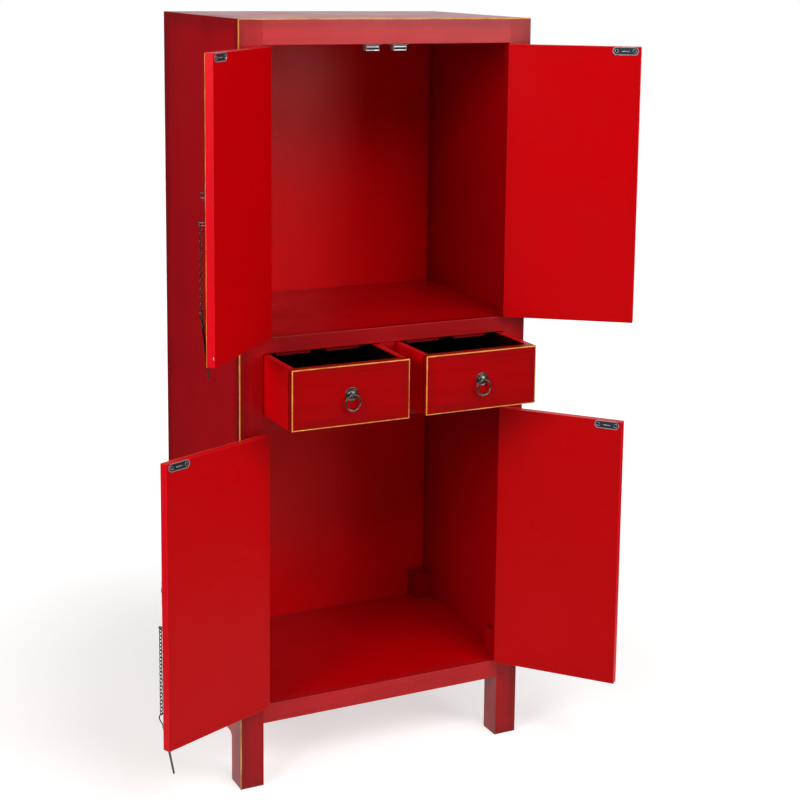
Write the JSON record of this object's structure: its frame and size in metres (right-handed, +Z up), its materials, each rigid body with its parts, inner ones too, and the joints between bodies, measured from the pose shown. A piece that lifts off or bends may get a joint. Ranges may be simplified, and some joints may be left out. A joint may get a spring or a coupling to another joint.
{
  "type": "chinese wedding cabinet",
  "caption": "Tall red lacquered wedding cabinet: paired doors above and below, drawers between with ring pulls, magnetic catches and pin-and-chain door locks.",
  "frame": {"origin": "on the floor at the centre of the cabinet's footprint", "axes": "+X to the right as the user faces the doors, +Y towards the back panel, +Z up"},
  "size_m": [1.0356, 0.679, 1.6],
  "materials": {
    "red_lacquer": "satin lacquer over wood board",
    "black_lacquer": "matte",
    "antique_brass": "antiqued",
    "zinc_plated_steel": "satin",
    "dark_steel": "blackened",
    "white_nylon": "satin, slightly translucent"
  },
  "bodies": {
    "cabinet": {"left_front_stile": "red_lacquer", "right_front_stile": "red_lacquer", "head_rail": "red_lacquer", "mid_rail": "red_lacquer", "drawer_divider": "red_lacquer", "drawer_rail": "red_lacquer", "bottom_rail": "red_lacquer", "left_side_panel": "red_lacquer", "right_side_panel": "red_lacquer", "back_panel": "red_lacquer", "back_panel_screws": "dark_steel", "top_panel": "red_lacquer", "upper_floor": "red_lacquer", "drawer_bay_floor": "red_lacquer", "bottom_board": "red_lacquer", "leg_blocks": "red_lacquer", "drawer_guides": "red_lacquer", "drawer_stops": "red_lacquer", "catch_cleats": "red_lacquer", "catch_bodies": "white_nylon", "catch_pole_plates": "zinc_plated_steel", "hinge_frame_leaves": "antique_brass", "hinge_pins": "antique_brass", "cabinet_screws": "dark_steel"},
    "upper_left_door": {"upper_left_door_panel": "red_lacquer", "upper_left_door_hinge_leaves": "antique_brass", "upper_left_strike_plate": "zinc_plated_steel", "upper_left_lock_hasp": "antique_brass", "upper_left_door_screws": "dark_steel"},
    "lower_left_door": {"lower_left_door_panel": "red_lacquer", "lower_left_door_hinge_leaves": "antique_brass", "lower_left_strike_plate": "zinc_plated_steel", "lower_left_lock_hasp": "antique_brass", "lower_left_door_screws": "dark_steel"},
    "upper_right_door": {"upper_right_door_panel": "red_lacquer", "upper_right_door_hinge_leaves": "antique_brass", "upper_right_strike_plate": "zinc_plated_steel", "upper_right_lock_hasp": "antique_brass", "upper_right_door_screws": "dark_steel"},
    "lower_right_door": {"lower_right_door_panel": "red_lacquer", "lower_right_door_hinge_leaves": "antique_brass", "lower_right_strike_plate": "zinc_plated_steel", "lower_right_lock_hasp": "antique_brass", "lower_right_door_screws": "dark_steel"},
    "upper_left_chain": {"upper_left_lock_chain": "antique_brass"},
    "upper_left_pin": {"upper_left_lock_pin": "antique_brass"},
    "lower_left_chain": {"lower_left_lock_chain": "antique_brass"},
    "lower_left_pin": {"lower_left_lock_pin": "antique_brass"},
    "left_drawer": {"left_drawer_front": "red_lacquer", "left_drawer_sides": "red_lacquer", "left_drawer_back": "black_lacquer", "left_drawer_base": "black_lacquer", "left_drawer_pull_plate": "antique_brass"},
    "left_pull": {"left_drawer_pull_ring": "antique_brass"},
    "right_drawer": {"right_drawer_front": "red_lacquer", "right_drawer_sides": "red_lacquer", "right_drawer_back": "black_lacquer", "right_drawer_base": "black_lacquer", "right_drawer_pull_plate": "antique_brass"},
    "right_pull": {"right_drawer_pull_ring": "antique_brass"}
  },
  "joints": [
    {"name": "upper_left_door_hinge", "type": "hinge", "parent": "cabinet", "child": "upper_left_door", "pos_m": [-0.2775, -0.228, 1.255], "axis": [0, 0, -1], "range_deg": [-134.2, 35.8]},
    {"name": "lower_left_door_hinge", "type": "hinge", "parent": "cabinet", "child": "lower_left_door", "pos_m": [-0.2775, -0.228, 0.47175], "axis": [0, 0, -1], "range_deg": [-157, 13]},
    {"name": "upper_right_door_hinge", "type": "hinge", "parent": "cabinet", "child": "upper_right_door", "pos_m": [0.2775, -0.228, 1.255], "axis": [0, 0, 1], "range_deg": [-143.5, 26.5]},
    {"name": "lower_right_door_hinge", "type": "hinge", "parent": "cabinet", "child": "lower_right_door", "pos_m": [0.2775, -0.228, 0.47175], "axis": [0, 0, 1], "range_deg": [-129.8, 40.2]},
    {"name": "upper_left_chain_swing", "type": "hinge", "parent": "upper_left_door", "child": "upper_left_chain", "pos_m": [-0.47385, -0.4127, 1.2295], "axis": [-0.7169, 0.6972, 0], "range_deg": [-25, 25]},
    {"name": "upper_left_pin_swing", "type": "hinge", "parent": "upper_left_chain", "child": "upper_left_pin", "pos_m": [-0.47385, -0.4127, 1.0671], "axis": [-0.7169, 0.6972, 0], "range_deg": [-20, 53]},
    {"name": "lower_left_chain_swing", "type": "hinge", "parent": "lower_left_door", "child": "lower_left_chain", "pos_m": [-0.53008, -0.32218, 0.42375], "axis": [-0.3907, 0.9205, 0], "range_deg": [-25, 25]},
    {"name": "lower_left_pin_swing", "type": "hinge", "parent": "lower_left_chain", "child": "lower_left_pin", "pos_m": [-0.53008, -0.32218, 0.24655], "axis": [-0.3907, 0.9205, 0], "range_deg": [-20, 53]},
    {"name": "left_drawer_slide", "type": "slide", "parent": "cabinet", "child": "left_drawer", "axis": [0, -1, 0], "range_m": [-0.147, 0.133]},
    {"name": "left_pull_swing", "type": "hinge", "parent": "left_drawer", "child": "left_pull", "pos_m": [-0.148, -0.3832, 0.8675], "axis": [-1, 0, 0], "range_deg": [-8, 150]},
    {"name": "right_drawer_slide", "type": "slide", "parent": "cabinet", "child": "right_drawer", "axis": [0, -1, 0], "range_m": [-0.143, 0.137]},
    {"name": "right_pull_swing", "type": "hinge", "parent": "right_drawer", "child": "right_pull", "pos_m": [0.148, -0.3792, 0.8675], "axis": [-1, 0, 0], "range_deg": [-8, 150]}
  ]
}
